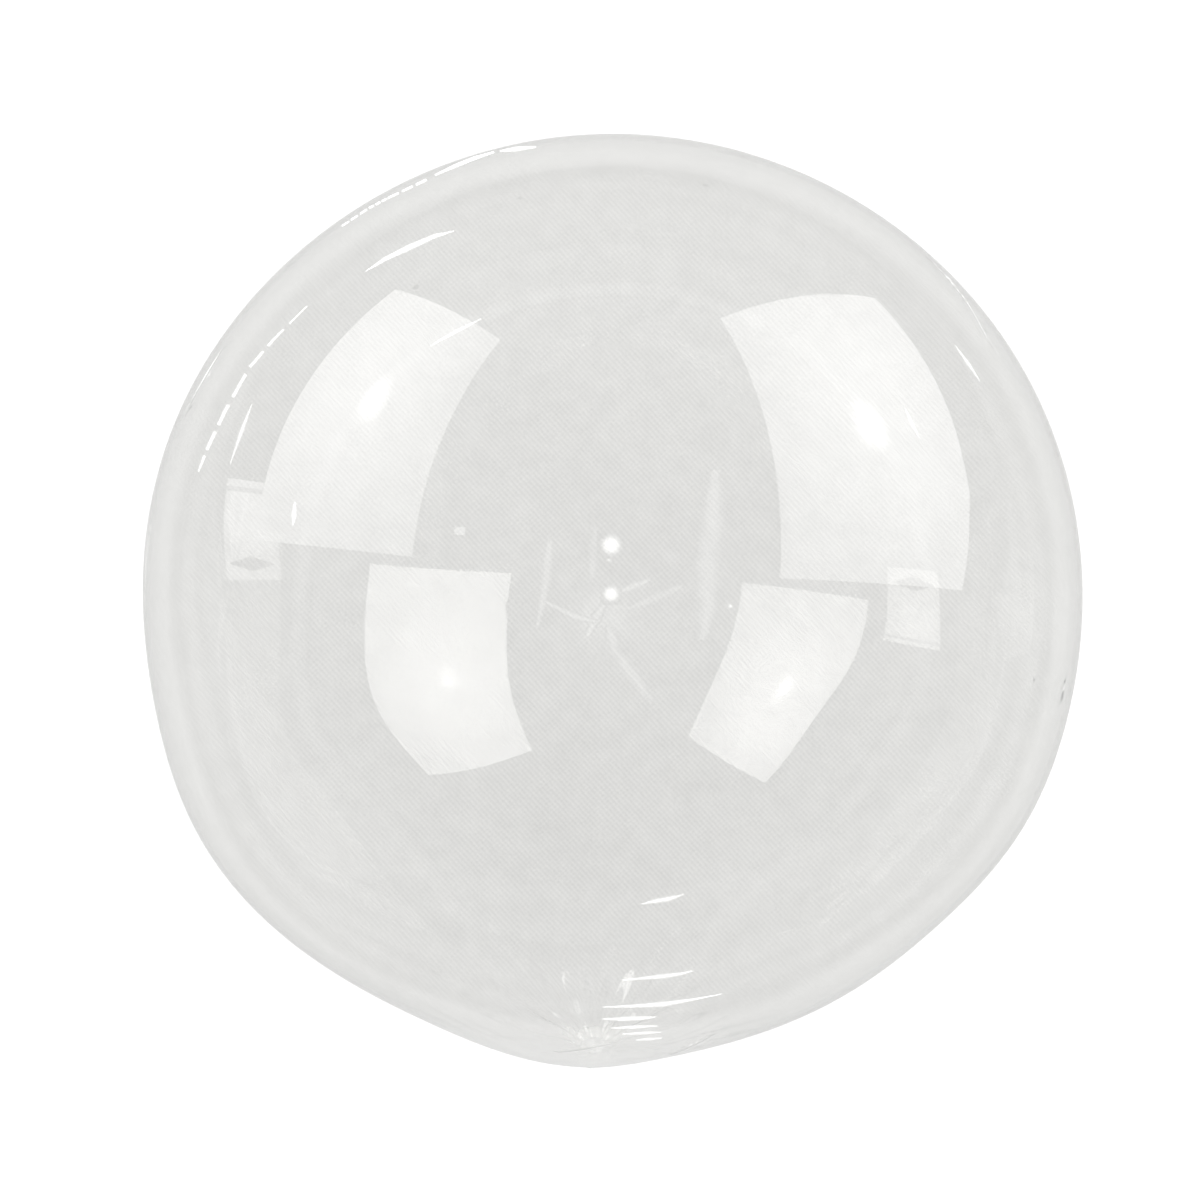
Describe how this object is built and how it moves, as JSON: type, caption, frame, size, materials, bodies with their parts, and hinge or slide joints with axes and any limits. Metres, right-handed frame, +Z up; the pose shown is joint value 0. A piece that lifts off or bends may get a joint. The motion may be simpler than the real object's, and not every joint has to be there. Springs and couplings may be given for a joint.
{
  "type": "clear bubble balloon",
  "caption": "Round clear bubble balloon of thin see-through film, blown up, gathered at its neck and knotted, with a short loose end, lying on its side.",
  "frame": {"origin": "middle of the flat spot that the film makes on the surface it lies on", "axes": "+Z up from that surface, -Y towards the neck seen from above, +X to the right with the neck at the bottom of the view"},
  "size_m": [0.4511, 0.4801, 0.4498],
  "materials": {
    "clear_film": "thin clear stretch film, glossy, faintly warm grey, with fine scuffs and gel specks"
  },
  "bodies": {
    "root": {"balloon_envelope": "clear_film"}
  },
  "joints": []
}
